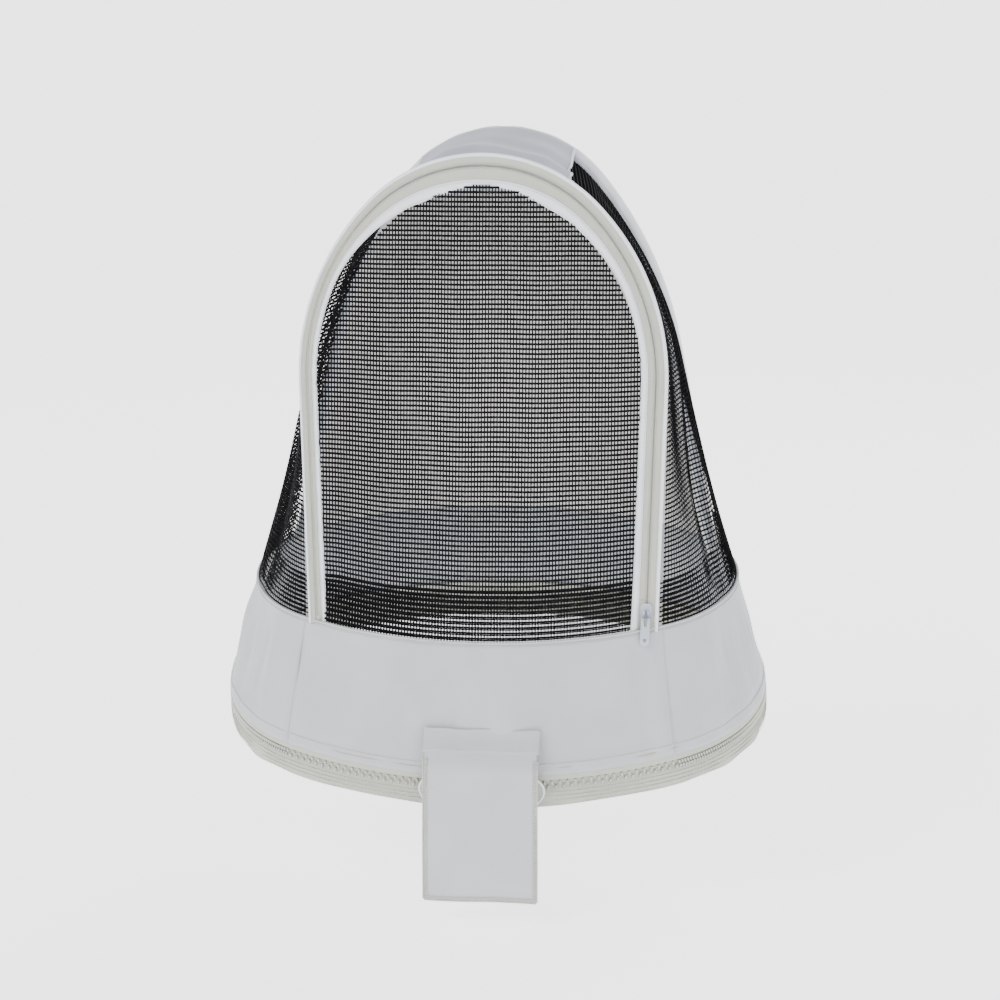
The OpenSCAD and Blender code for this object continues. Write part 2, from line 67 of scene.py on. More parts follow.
# An arch: radius of its top, angle where that ends, radius of its sides, angle where its legs start, height
FRONT = (122 * MM, math.radians(46), 190 * MM, math.radians(91.9), 431 * MM)
REAR = (103 * MM, math.radians(50), 300 * MM, math.radians(79.5), 449 * MM)
FRONT_Y, REAR_Y = -86 * MM, 50 * MM
FRONT_FOOT, REAR_FOOT = 72 * MM, 110 * MM
FRONT_TURN, REAR_TURN = 29.5, 121.5
# The face zip: its plane, the inset of its middle from the arch, and the binding and net inside it
ZIP_Y = -95.7 * MM
ZIP_LINE = 8.2 * MM
SLIDER_TOP = 91.5 * MM
BINDING_IN, BINDING_W = 16.1 * MM, 7.2 * MM
NET_IN = BINDING_IN + BINDING_W
# Where the collar zip starts and ends, in degrees round its ring
ZIP_START, ZIP_END = -2.6, 4.2
ZIP_SPAN = 360 + ZIP_START - ZIP_END
# The closure flap: its middle, width, hinge, length, and the knee where it bends down
FLAP_X, FLAP_W, HINGE_Z, FLAP_L = 6 * MM, 88 * MM, -18 * MM, 114 * MM
HINGE_Y, KNEE_Y, KNEE_Z = -150 * MM, -156.5 * MM, -34 * MM

ORIGIN, INSIDE = Vector((0, 0, 0)), Vector((0, 0, 0.2))
SIDEWAYS, BACKWARD, UP, OUT = Vector((1, 0, 0)), Vector((0, 1, 0)), Vector((0, 0, 1)), Vector((0, -1, 0))


def oval_arcs(a, b):
    """Distance of a four-arc oval's arc centres, and the radii of its side and end arcs."""
    d = (a - b) / (math.sin(RING_TURN) + math.cos(RING_TURN) - 1)
    side = a - d * math.sin(RING_TURN)
    return d, side, side + d


def oval(a, b, e, turn):
    """Point of a four-arc oval grown by e, where its normal is turned by turn degrees."""
    p = math.radians((turn + 180) % 360 - 180)
    d, side, end = oval_arcs(a, b)
    if abs(p) <= RING_TURN:
        return (end + e) * math.sin(p), d * math.cos(RING_TURN) - (end + e) * math.cos(p)
    if abs(p) <= math.pi - RING_TURN:
        corner = math.copysign(d * math.sin(RING_TURN), p)
        return corner + (side + e) * math.sin(p), -(side + e) * math.cos(p)
    return (end + e) * math.sin(p), -d * math.cos(RING_TURN) - (end + e) * math.cos(p)


def ring_point(ring, turn, e=0.0, w=0.0):
    """Point of a ring, e outside its oval and w above its plane."""
    a, b, tilt, o = ring
    x, y = oval(a, b, e, turn)
    return Vector((x,
                   o[1] + y * math.cos(tilt) - w * math.sin(tilt),
                   o[2] + y * math.sin(tilt) + w * math.cos(tilt)))


def ring_out(ring, turn):
    return (ring_point(ring, turn, 0.001) - ring_point(ring, turn)).normalized()


def seam_height(y):
    return SEAM[3][2] + (y - SEAM[3][1]) * math.tan(SEAM[2])


def arch_turned(A, o, t):
    """Point (x, z) of an arch inset by o, where its normal is turned by t from straight up."""
    c1 = A[4] - A[0]
    if t <= A[1]:
        return (A[0] - o) * math.sin(t), c1 + (A[0] - o) * math.cos(t)
    cx, cz = (A[0] - A[2]) * math.sin(A[1]), c1 + (A[0] - A[2]) * math.cos(A[1])
    return cx + (A[2] - o) * math.sin(t), cz + (A[2] - o) * math.cos(t)


def arch_leg(A, o, z):
    """Point (x, z) of an arch's straight leg at the height z."""
    x, h = arch_turned(A, o, A[3])
    return x + (h - z) * math.cos(A[3]) / math.sin(A[3]), z


def arch_share(A, o, foot, t_end, s):
    """Point at the share s of the way from an arch's foot to the angle t_end."""
    leg = (arch_turned(A, o, A[3])[1] - foot) / math.sin(A[3])
    side = (A[2] - o) * (A[3] - A[1])
    top = (A[0] - o) * (A[1] - t_end)
    d = s * (leg + side + top)
    if d <= leg:
        return arch_leg(A, o, foot + d * math.sin(A[3]))
    if d <= leg + side:
        return arch_turned(A, o, A[3] - (d - leg) / (A[2] - o))
    return arch_turned(A, o, A[1] - (d - leg - side) / (A[0] - o))


def arch_x(A, o, z):
    """Half width of an arch at the height z."""
    c1 = A[4] - A[0]
    cx, cz = (A[0] - A[2]) * math.sin(A[1]), c1 + (A[0] - A[2]) * math.cos(A[1])
    if z >= c1 + (A[0] - o) * math.cos(A[1]):
        return math.sqrt(max(0.0, (A[0] - o) ** 2 - (z - c1) ** 2))
    if z >= cz + (A[2] - o) * math.cos(A[3]):
        return cx + math.sqrt((A[2] - o) ** 2 - (z - cz) ** 2)
    return arch_leg(A, o, z)[0]


def whole_arch(A, o, foot, n):
    """Points (x, z) of the arch from the right foot over the top to the left foot."""
    half = [arch_share(A, o, foot, 0, i / n) for i in range(n + 1)]
    return half + [(-x, z) for x, z in reversed(half[:-1])]


def bezier(a, b, c, d, t):
    return a * (1 - t) ** 3 + 3 * b * t * (1 - t) ** 2 + 3 * c * t * t * (1 - t) + d * t ** 3


def bump(t, at, width):
    return math.exp(-((t - at) / width) ** 2)


def clamped(t):
    return min(max(t, 0), 1)


# ------------------------------------------------------------ materials

CLOUD_SCALE, TINT, RELIEF_DEPTH = 26, (-0.3, 0, 0.5), 0.0003


def weave_height(tree, where, scale, axes):
    """Height of a weave: bands of thread along each axis, multiplied."""
    height = None
    for axis in axes:
        wave = tree.nodes.new("ShaderNodeTexWave")
        wave.bands_direction = axis
        wave.inputs["Scale"].default_value = scale
        wave.inputs["Distortion"].default_value = 0.6
        wave.inputs["Detail Scale"].default_value = 2
        tree.links.new(where, wave.inputs["Vector"])
        if height is None:
            height = wave.outputs["Fac"]
            continue
        both = tree.nodes.new("ShaderNodeMath")
        both.operation = "MULTIPLY"
        tree.links.new(height, both.inputs[0])
        tree.links.new(wave.outputs["Fac"], both.inputs[1])
        height = both.outputs[0]
    return height


def shaded_by(tree, colour, height, share):
    """The colour, darker between the threads."""
    shade = tree.nodes.new("ShaderNodeMixRGB")
    shade.blend_type = "MULTIPLY"
    shade.inputs["Fac"].default_value = share
    grey = tree.nodes.new("ShaderNodeMapRange")
    grey.inputs["To Min"].default_value = 0.72
    tree.links.new(height, grey.inputs["Value"])
    tree.links.new(colour, shade.inputs["Color1"])
    tree.links.new(grey.outputs["Result"], shade.inputs["Color2"])
    return shade.outputs["Color"]


def painted_edge_highlight(tree, colour, edge_highlight):
    """The colour, lightened on convex edges: a painted highlight."""
    point = tree.nodes.new("ShaderNodeNewGeometry")
    edge = tree.nodes.new("ShaderNodeMapRange")
    edge.inputs["From Min"].default_value, edge.inputs["From Max"].default_value = 0.5, 0.62
    tree.links.new(point.outputs["Pointiness"], edge.inputs["Value"])
    highlit = tree.nodes.new("ShaderNodeMixRGB")
    highlit.inputs["Color2"].default_value = list(edge_highlight) + [1]
    tree.links.new(edge.outputs["Result"], highlit.inputs["Fac"])
    tree.links.new(colour, highlit.inputs["Color1"])
    return highlit.outputs["Color"]


def material(name, colour, rough, weave=None, vary=0.03, sheen=0.0, metal=0.0, coat=0.0,
             bump_depth=0.3, edge_highlight=None, glow=0.0, specular=0.5):
    """Procedural material: a weave (scale, axes, shade), a soft change of colour, and bump from either."""
    m = bpy.data.materials.new(name)
    m.use_nodes = True
    tree = m.node_tree
    shader = tree.nodes["Principled BSDF"]
    settings = {"Roughness": rough, "Metallic": metal, "Sheen Weight": sheen, "Coat Weight": coat,
                "Emission Color": list(colour) + [1], "Emission Strength": glow,
                "Specular IOR Level": specular}
    for socket, value in settings.items():
        shader.inputs[socket].default_value = value
    where = tree.nodes.new("ShaderNodeTexCoord").outputs["Object"]
    cloud = tree.nodes.new("ShaderNodeTexNoise")
    cloud.inputs["Scale"].default_value = CLOUD_SCALE
    cloud.inputs["Detail"].default_value = 5
    tree.links.new(where, cloud.inputs["Vector"])
    ramp = tree.nodes.new("ShaderNodeValToRGB")
    stops = ramp.color_ramp.elements
    stops[0].position, stops[1].position = 0.3, 0.7
    for stop, cool in zip(stops, (vary, -vary)):
        stop.color = [min(1, c * (1 - cool) * (1 + tint * cool)) for c, tint in zip(colour, TINT)] + [1]
    tree.links.new(cloud.outputs["Fac"], ramp.inputs["Fac"])
    height, colour_out = cloud.outputs["Fac"], ramp.outputs["Color"]
    if weave:
        height = weave_height(tree, where, weave[0], weave[1])
        colour_out = shaded_by(tree, colour_out, height, weave[2])
    if edge_highlight:
        colour_out = painted_edge_highlight(tree, colour_out, edge_highlight)
    tree.links.new(colour_out, shader.inputs["Base Color"])
    relief = tree.nodes.new("ShaderNodeBump")
    relief.inputs["Strength"].default_value = bump_depth
    relief.inputs["Distance"].default_value = RELIEF_DEPTH
    tree.links.new(height, relief.inputs["Height"])
    tree.links.new(relief.outputs["Normal"], shader.inputs["Normal"])
    return m


CLOTH = material("white_cloth", (0.385, 0.40, 0.42), 0.92, (420, "XZ", 0.35), 0.045, 0.25)
# A lighter copy of the white cloth for the back panel: painted light, standing in for the light that comes
# through the backlit cloth.
BACK_LIT_CLOTH = material("back_cloth", (0.64, 0.635, 0.62), 0.92, (420, "XZ", 0.3), 0.02, 0.2)
# A darker, bluer copy of the white cloth for the crown panel: painted shade.
CROWN_SHADED_CLOTH = material("crown_cloth", (0.28, 0.30, 0.37), 0.9, (420, "XY", 0.35), 0.04, 0.25)
BINDING = material("white_binding", (0.60, 0.63, 0.68), 0.85, (520, "XZ", 0.3), 0.02, 0.3)
TAPE = material("zip_tape", (0.36, 0.365, 0.32), 0.9, (640, "XZ", 0.45), 0.03, 0.2)
COIL = material("zip_coil", (0.40, 0.40, 0.35), 0.5, None, 0.03)
TEETH = material("zip_teeth", (0.38, 0.39, 0.355), 0.42, None, 0.03, coat=0.15)
THREAD = material("thread", (0.50, 0.51, 0.52), 0.8, (900, "X", 0.4), 0.04, 0.2)
OVERLOCK = material("overlock_thread", (0.40, 0.40, 0.36), 0.85, (900, "Z", 0.4), 0.04, 0.2)
NET = material("black_net", (0.0035, 0.0035, 0.0045), 0.75, (1400, "XZ", 0.5), 0.15, specular=0.06)
# The slider's metal is painted dark, with a pale colour only on its convex edges: painted shade on the body
# and a painted highlight on the edges.
METAL = material("slider_metal", (0.085, 0.10, 0.13), 0.5, None, 0.08, metal=0.3, coat=0.1,
                 edge_highlight=(0.34, 0.37, 0.42))
STEEL = material("spring_steel", (0.45, 0.47, 0.5), 0.3, (1500, "Z", 0.2), 0.05, metal=1.0)
CAPS = material("rod_caps", (0.62, 0.63, 0.62), 0.4, None, 0.03)
HOOKS = material("hook_pad", (0.66, 0.67, 0.67), 0.8, (900, "XZ", 0.7), 0.03, bump_depth=0.9)

# ------------------------------------------------------------ makers

CLOTH_T, TAPE_T = 1.2 * MM, 0.8 * MM
STITCH, THREAD_R, THREAD_LIFT = 3.2 * MM, 0.28 * MM, 0.12 * MM
STITCH_START, STITCH_STOP = 0.4 * MM, 0.5 * MM
WEAVE = 0.2 * MM


def piece(name, verts, faces, mat):
    """Smooth-shaded mesh object with outward normals."""
    mesh = bpy.data.meshes.new(name)
    mesh.from_pydata([tuple(v) for v in verts], [], faces)
    mesh.materials.append(mat)
    mesh.validate()
    work = bmesh.new()
    work.from_mesh(mesh)
    bmesh.ops.recalc_face_normals(work, faces=work.faces)
    work.to_mesh(mesh)
    work.free()
    for f in mesh.polygons:
        f.use_smooth = True
    obj = bpy.data.objects.new(name, mesh)
    bpy.context.scene.collection.objects.link(obj)
    return obj


def normals_of(grid):
    """Unit normals of a grid of points."""
    m, n = len(grid) - 1, len(grid[0]) - 1

    def normal(i, j):
        down = grid[min(i + 1, m)][j] - grid[max(i - 1, 0)][j]
        return down.cross(grid[i][min(j + 1, n)] - grid[i][max(j - 1, 0)]).normalized()

    return [[normal(i, j) for j in range(n + 1)] for i in range(m + 1)]


def cloth(name, grid, t, mat, inner):
    """Closed sheet of thickness t behind a grid, on the side of the point inner."""
    m, n = len(grid) - 1, len(grid[0]) - 1
    norms = normals_of(grid)
    middle = grid[m // 2][n // 2]
    if norms[m // 2][n // 2].dot(middle - inner) < 0:
        norms = [[-v for v in row] for row in norms]
    front = [p for row in grid for p in row]
    back = [grid[i][j] - norms[i][j] * t for i in range(m + 1) for j in range(n + 1)]
    k, size = n + 1, (m + 1) * (n + 1)
    faces = []
    for i in range(m):
        for j in range(n):
            a = i * k + j
            faces.append((a, a + 1, a + k + 1, a + k))
            faces.append((a + size, a + k + size, a + k + 1 + size, a + 1 + size))
    rim = [j for j in range(k)] + [i * k + n for i in range(1, m + 1)]
    rim += [m * k + j for j in range(n - 1, -1, -1)] + [i * k for i in range(m - 1, 0, -1)]
    for a, b in zip(rim, rim[1:] + rim[:1]):
        faces.append((a, a + size, b + size, b))
    return piece(name, front + back, faces, mat)


def tube(verts, faces, path, r, sides=4, up=UP):
    """Adds a closed tube along a path to lists of vertices and faces; r may be (wide, high)."""
    rx, ry = r if isinstance(r, tuple) else (r, r)
    first = len(verts)
    last = len(path) - 1
    for i, p in enumerate(path):
        along = (path[min(i + 1, last)] - path[max(i - 1, 0)]).normalized()
        across = up.cross(along)
        if across.length < 1e-4:
            across = BACKWARD.cross(along)
        across.normalize()
        top = along.cross(across)
        for k in range(sides):
            a = math.tau * (k + 0.5) / sides
            verts.append(p + across * rx * math.cos(a) + top * ry * math.sin(a))
    for i in range(last):
        for k in range(sides):
            a, b = first + i * sides + k, first + i * sides + (k + 1) % sides
            faces.append((a, b, b + sides, a + sides))
    faces.append(tuple(first + k for k in reversed(range(sides))))
    faces.append(tuple(first + last * sides + k for k in range(sides)))


def tube_piece(name, path, r, sides, mat, up=UP):
    verts, faces = [], []
    tube(verts, faces, path, r, sides, up)
    return piece(name, verts, faces, mat)


def stitches(name, path, normal, mat=THREAD, pitch=STITCH, r=THREAD_R):
    """A row of separate thread stitches along a path."""
    verts, faces = [], []
    lengths = [0.0]
    for a, b in zip(path, path[1:]):
        lengths.append(lengths[-1] + (b - a).length)

    def at(d):
        i = 0
        while i < len(lengths) - 2 and lengths[i + 1] < d:
            i += 1
        return path[i].lerp(path[i + 1], min(1, (d - lengths[i]) / max(1e-9, lengths[i + 1] - lengths[i])))

    for i in range(int(lengths[-1] / pitch)):
        a, b = at(i * pitch + STITCH_START), at((i + 1) * pitch - STITCH_STOP)
        n = normal(a) if callable(normal) else normal
        low, top = n * THREAD_LIFT, n * (THREAD_LIFT + r * 0.6)
        tube(verts, faces, [a - n * r, a + low, a.lerp(b, 0.5) + top, b + low, b - n * r], r, 4, n)
    return piece(name, verts, faces, mat)


def grid_lookup(grid):
    """Function (u, v) in 0..1 to a point of a grid of points."""
    m, n = len(grid) - 1, len(grid[0]) - 1

    def at(u, v):
        x, y = clamped(u) * m, clamped(v) * n
        i, j = min(int(x), m - 1), min(int(y), n - 1)
        near, far = grid[i][j].lerp(grid[i + 1][j], x - i), grid[i][j + 1].lerp(grid[i + 1][j + 1], x - i)
        return near.lerp(far, y - j)

    return at


def net(name, weft, warp, weft_r, warp_r, out):
    """Woven net: bold weft strands, and fine warp strands whose points pass over and under them."""
    verts, faces = [], []
    for path in weft:
        tube(verts, faces, path, weft_r, 3, out)
    for k, path in enumerate(warp):
        woven = [p + out * WEAVE * (1 if (i + k) % 2 else -1) for i, p in enumerate(path)]
        tube(verts, faces, woven, warp_r, 3, out)
    return piece(name, verts, faces, NET)


def named(obj, nodes):
    """Hides the CAD nodes that a piece stands for."""
    if nodes:
        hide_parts(*nodes)
    return obj


def finished(obj, slot, *nodes):
    """A piece that stays on the root."""
    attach(named(obj, nodes), "root")
    return obj


# ------------------------------------------------------------ skirt and collar tapes

# Sharp folds of the skirt: turn, width in degrees, depth
SKIRT_FOLDS = ((27.5, 1.2, 3.6 * MM), (25.2, 1.2, -2.2 * MM), (-24, 1.5, 2.4 * MM))
SKIRT_ROWS, HEM_OUT, HEM_UP = 36, 0.8 * MM, 9 * MM


def skirt_grid(first, last, cols):
    """Skirt from the seam to the collar zip, gathered slightly at the zip and creased down its height."""
    grid = []
    for i in range(SKIRT_ROWS + 1):
        s = i / SKIRT_ROWS
        body = math.sin(math.pi * s)
        row = []
        for j in range(cols + 1):
            turn = first + (last - first) * j / cols
            a = math.radians(turn)
            wave = 0.0018 * math.sin(a * 9 + 1.3) + 0.0008 * math.sin(a * 23)
            soft = 0.0034 * perlin(Vector((turn * 0.09, s * 1.8, 4)))
            soft += 0.0012 * perlin(Vector((turn * 0.35, s * 1.2, 9)))
            ruffle = 0.0022 * math.sin(s * 34 + a * 4) * max(0, (s - 0.72) / 0.28) * abs(math.sin(a))
            fold = sum(depth * bump(turn, at, width) for at, width, depth in SKIRT_FOLDS) * body
            top, low = ring_point(SEAM, turn), ring_point(COLLAR, turn, HEM_OUT, HEM_UP)
            rise = (wave + soft) * body + ruffle * body + fold
            row.append(top.lerp(low, s) + ring_out(COLLAR, turn) * rise)
        grid.append(row)
    return grid


def outward(p):
    """Level direction from the hood's middle to a point."""
    return (p - Vector((0, 0, p.z))).normalized()


def skirt(label, grid):
    """One half of the skirt."""
    sheet = cloth(f"skirt_{label}_cloth", grid, CLOTH_T, CLOTH, INSIDE)
    finished(sheet, "white_cloth", f"skirt_{label}")


front_skirt = skirt_grid(-FRONT_TURN, FRONT_TURN, 120)
back_skirt = skirt_grid(FRONT_TURN, 360 - FRONT_TURN, 380)
skirt("front", front_skirt)
skirt("back", back_skirt)
for label, grid in (("front", front_skirt), ("back", back_skirt)):
    for k, share in enumerate((0.04, 0.93)):
        row = [p + outward(p) * 0.0004 for p in grid[int(share * SKIRT_ROWS)]]
        finished(stitches(f"skirt_{label}_topstitch_{k}", row, outward), "white_cloth")

# Rolled seam that joins the skirt to the panels above it
seam_line = [ring_point(SEAM, i * 1.5, 0.0002, 0.0004) for i in range(241)]
finished(tube_piece("neck_seam_roll", seam_line, (0.0014, 0.0010), 8, CLOTH), "white_cloth")

BAND_STEPS, BAND_ROWS, TAPE_OUT = 520, 14, 0.4 * MM
COLLAR_LENGTH, TOOTH_PITCH = 1.13, 3.6 * MM


def collar_row(steps, e, w):
    """Points along the whole collar zip."""
    return [ring_point(COLLAR, ZIP_END + ZIP_SPAN * j / steps, e, w) for j in range(steps + 1)]


def collar_tape(name, w0, w1, node, wobble=0.0):
    """Tape of the collar zip between two heights, which dips behind the teeth and behind the skirt's hem."""
    grid = []
    for k in range(BAND_ROWS + 1):
        w = w0 + (w1 - w0) * k / BAND_ROWS
        hem = 0.4 * max(0.0, w - 0.0080)
        teeth = 0.0018 * min(1, max(0.0, 0.0042 - abs(w)) / 0.001)
        row = []
        for j in range(BAND_STEPS + 1):
            slack = wobble * (math.sin(j * 0.21) + 0.6 * math.sin(j * 0.083 + 1)) * min(1, abs(w) / 0.018)
            turn = ZIP_END + ZIP_SPAN * j / BAND_STEPS
            row.append(ring_point(COLLAR, turn, TAPE_OUT + slack - hem - teeth, w))
        grid.append(row)
    tape = finished(cloth(name, grid, TAPE_T, TAPE, ORIGIN), "zip_tape", node)


collar_tape("collar_lower_tape", -0.1 * MM, -18.2 * MM, "collar_tape_lower",
            wobble=0.9 * MM)
collar_tape("collar_upper_tape", 13.8 * MM, 0.1 * MM, "collar_tape_upper")
for k, w in enumerate((-6.2 * MM, -9.8 * MM, -13.4 * MM)):
    row = collar_row(500, 1.0 * MM, w)
    finished(stitches(f"lower_tape_stitch_{k}", row, outward, OVERLOCK, 3.0 * MM, 0.34 * MM), "zip_tape")
row = collar_row(500, 0.6 * MM, -17.2 * MM)
finished(stitches("lower_tape_selvedge", row, outward, OVERLOCK, 2.6 * MM, 0.22 * MM), "zip_tape")


def tooth_row(name, side, node):
    """Separate moulded teeth, each a bead with a slanted head, above (1) or below (-1) the zip's line."""
    verts, faces = [], []
    count = int(COLLAR_LENGTH / TOOTH_PITCH)
    for i in range(count):
        turn = ZIP_END + 0.1 + (ZIP_SPAN - 0.2) * (i + (0.5 if side < 0 else 0)) / count
        here = ring_point(COLLAR, turn)
        along = (ring_point(COLLAR, turn + 0.05) - ring_point(COLLAR, turn - 0.05)).normalized()
        up = (ring_point(COLLAR, turn, 0, 0.001) - here).normalized() * side
        root, tip = here + up * 0.0031, here + up * 0.0006 + along * 0.0006
        bead = [root, root.lerp(tip, 0.35), root.lerp(tip, 0.75), tip]
        tube(verts, faces, bead, (0.0008, 0.0012), 6, ring_out(COLLAR, turn))
    finished(piece(name, verts, faces, TEETH), "zip_teeth", node)


tooth_row("collar_teeth_upper_row", 1, "collar_teeth_upper")
tooth_row("collar_teeth_lower_row", -1, "collar_teeth_lower")

# ------------------------------------------------------------ hoop channels

SLEEVE_INSET, SLEEVE_R, SLEEVE_SIDES, SLEEVE_STEPS = 5.5 * MM, 5.2 * MM, 20, 110


def channel(name, A, y, foot, node):
    """Cloth sleeve round a rod, with small gathers and two rows of stitches."""
    line = whole_arch(A, SLEEVE_INSET, foot, SLEEVE_STEPS)
    n, sides = len(line), SLEEVE_SIDES
    verts, faces = [], []
    for i, (x, z) in enumerate(line):
        ax, az = line[max(i - 1, 0)]
        bx, bz = line[min(i + 1, n - 1)]
        along = Vector((bx - ax, 0, bz - az)).normalized()
        out = Vector((along.z, 0, -along.x))
        for k in range(sides):
            a = math.tau * k / sides
            gather = 0.00022 * math.sin(i * 0.9 + 2 * math.sin(a * 2))
            r = SLEEVE_R + gather + 0.00018 * perlin(Vector((i * 0.3, a, 2)))
            verts.append(Vector((x, y, z)) + out * r * math.cos(a) + BACKWARD * r * math.sin(a))
        if i:
            for k in range(sides):
                a, b = (i - 1) * sides + k, (i - 1) * sides + (k + 1) % sides
                faces.append((a, b, b + sides, a + sides))
    faces += [tuple(reversed(range(sides))), tuple((n - 1) * sides + k for k in range(sides))]
    finished(piece(name, verts, faces, BINDING), "white_binding", node)
    for k, side in enumerate((-1, 1)):
        row = [Vector((x, y + side * SLEEVE_R, z)) for x, z in line]
        finished(stitches(f"{name}_stitch_{k}", row, BACKWARD * side), "white_binding")


channel("front_hoop_channel", FRONT, FRONT_Y, FRONT_FOOT + 2 * MM, "front_channel")
channel("rear_hoop_channel", REAR, REAR_Y, REAR_FOOT + 2 * MM, "rear_channel")

# ------------------------------------------------------------ crown and back

FRONT_EDGE, REAR_EDGE, HANG_Y = FRONT_Y + 3.5 * MM, REAR_Y - 3.5 * MM, REAR_Y + 4.0 * MM
CROWN_RIGHT, CROWN_LEFT = math.radians(34), math.radians(40)
CROWN_ROWS, CROWN_COLS, CROWN_INSET, CROWN_T = 80, 40, 1.2 * MM, 1.0 * MM
BACK_COLS, BACK_ROWS = 150, 60


def crown_grid():
    """Crown panel between the hoops, which sags a little and has a few soft folds."""
    grid = []
    for i in range(CROWN_ROWS + 1):
        t = -CROWN_LEFT + (CROWN_LEFT + CROWN_RIGHT) * i / CROWN_ROWS
        f, r = arch_turned(FRONT, CROWN_INSET, abs(t)), arch_turned(REAR, CROWN_INSET, abs(t))
        front = Vector((math.copysign(f[0], t), FRONT_EDGE, f[1]))
        rear = Vector((math.copysign(r[0], t), REAR_EDGE, r[1]))
        out = Vector((math.sin(t), 0, math.cos(t)))
        row = []
        for j in range(CROWN_COLS + 1):
            s = j / CROWN_COLS
            fold = 0.0042 * perlin(Vector((t * 3.0, s * 2.6, 8)))
            fold += 0.0020 * math.sin(s * 17 + t * 4) * bump(s, 0.35, 0.4)
            sag = -0.0045 * math.sin(math.pi * s)
            row.append(front.lerp(rear, s) + out * (sag + fold * math.sin(math.pi * s)))
        grid.append(row)
    return grid


crown_points = crown_grid()
crown = cloth("crown_cloth_panel", crown_points, CROWN_T, CROWN_SHADED_CLOTH, INSIDE)
finished(crown, "white_cloth", "crown_panel")
for k, i in enumerate((0, -1)):
    row = [p + UP * 0.0003 for p in crown_points[i]]
    finished(tube_piece(f"crown_seam_{k}", row, (0.0016, 0.0007), 6, BINDING), "white_binding")


def back_grid():
    """Back panel, which hangs from the rear hoop in a wide curve and ends at the neck seam."""
    grid = []
    for i in range(BACK_COLS + 1):
        u = 1 - 2 * i / BACK_COLS
        x, z = arch_share(REAR, 0.0008, REAR_FOOT + 0.005, 0, 1 - abs(u))
        top = Vector((math.copysign(x, u), HANG_Y, z))
        foot = ring_point(SEAM, 180 - (180 - REAR_TURN - 1.0) * u, 0, 0.0004)
        drop = top.z - foot.z
        b, c = top + Vector((0, 0.018 + 0.19 * drop, 0)), foot + Vector((0, 0.05 * drop, 0.6 * drop))
        row = []
        for j in range(BACK_ROWS + 1):
            s = j / BACK_ROWS
            fold = 0.0085 * perlin(Vector((u * 3.2, s * 1.1, 3)))
            fold += 0.0026 * math.sin(u * 30 + 2 * s) * (1 - s) ** 2
            pleat = 0.0030 * math.sin(u * 21 + 0.6 * math.sin(u * 9)) * s * s
            fold += 0.0050 * perlin(Vector((u * 7 + s * 1.5, s * 0.9, 5))) * s + pleat
            row.append(bezier(top, b, c, foot, s) + BACKWARD * fold * math.sin(math.pi * s))
        grid.append(row)
    return grid


back = finished(cloth("back_cloth_panel", back_grid(), CLOTH_T, BACK_LIT_CLOTH, INSIDE), "white_cloth", "back_panel")

# ------------------------------------------------------------ net sides

SIDE_ROWS, SIDE_COLS, SIDE_FRONT_INSET, SIDE_REAR_INSET = 60, 24, 1.0 * MM, 9.5 * MM
# Strands of a side net, steps along a weft strand, the strand where the hem ends, and how far it lies inside
SIDE_WEFT, SIDE_WARP, WEFT_STEPS, HEM_END, HEM_BACK = 98, 54, 26, 10, 2.2 * MM


def side_surface(side):
    """The side net between the hoops, slack, with the long diagonal folds of a net that hangs."""
    end = (CROWN_RIGHT if side > 0 else CROWN_LEFT) + 0.002
    f0, r0 = arch_leg(FRONT, SIDE_FRONT_INSET, FRONT_FOOT), arch_leg(REAR, SIDE_REAR_INSET, REAR_FOOT)
    f0, r0 = Vector((f0[0], FRONT_EDGE, f0[1])), Vector((r0[0], REAR_EDGE, r0[1]))
    grid = []
    for i in range(SIDE_ROWS + 1):
        s = i / SIDE_ROWS
        f = arch_share(FRONT, SIDE_FRONT_INSET, FRONT_FOOT, end, s)
        r = arch_share(REAR, SIDE_REAR_INSET, REAR_FOOT, end, s)
        f, r = Vector((f[0], FRONT_EDGE, f[1])), Vector((r[0], REAR_EDGE, r[1]))
        row = []
        for j in range(SIDE_COLS + 1):
            t = j / SIDE_COLS
            hem = ring_point(SEAM, FRONT_TURN + (REAR_TURN - 1.5 - FRONT_TURN) * t, 0, 0.0004)
            p = f.lerp(r, t) + (hem - f0.lerp(r0, t)) * (1 - s) ** 1.3
            body = math.sin(math.pi * t) * math.sin(math.pi * min(1, s * 1.05 + 0.02))
            fold = 0.0036 * math.sin(t * 13 + s * 4) - 0.011 * bump(t, 0.40 + 0.1 * s, 0.045) * (1 - s)
            fold += 0.0036 * perlin(Vector((t * 3.5, s * 3, side))) - 0.0075
            p = p + SIDEWAYS * fold * body
            row.append(Vector((p.x * side, p.y, p.z)))
        grid.append(row)
    return grid


def side_net(label, side):
    """A side net and the doubled net of its hem; side is 1 on the right and -1 on the left."""
    at = grid_lookup(side_surface(side))
    out, inward = SIDEWAYS * side, SIDEWAYS * (-HEM_BACK * side)
    wefts, warps, steps = SIDE_WEFT, SIDE_WARP, WEFT_STEPS
    weft = [[at((i + 0.5) / wefts, j / steps) for j in range(steps + 1)] for i in range(wefts)]
    warp = [[at((i + 0.25) / (2 * wefts) if i else 0, (j + 0.5) / warps) for i in range(2 * wefts + 1)]
            for j in range(warps)]
    obj = net(f"side_net_{label}", weft, warp, (0.00100, 0.00040), (0.00070, 0.00035), out)
    finished(obj, "black_net", f"side_mesh_{label}")
    weft = [[at(i / wefts, j / steps) + inward for j in range(steps + 1)] for i in range(1, HEM_END)]
    warp = [[at(i / (2 * wefts), j / warps) + inward for i in range(1, 2 * HEM_END)]
            for j in range(1, warps)]
    hem = net(f"side_net_hem_{label}", weft, warp, (0.00082, 0.00035), (0.00056, 0.00030), out)
    finished(hem, "black_net")


side_net("right", 1)
side_net("left", -1)

# ------------------------------------------------------------ face net

PANEL_LOW = seam_height(ZIP_Y) + 1.5 * MM
PANEL_HIGH = FRONT[4] - NET_IN - 1.0 * MM
WEFT_PITCH, WARP_PITCH, PANEL_STEPS, MOST_WARPS = 3.65 * MM, 2.4 * MM, 56, 60


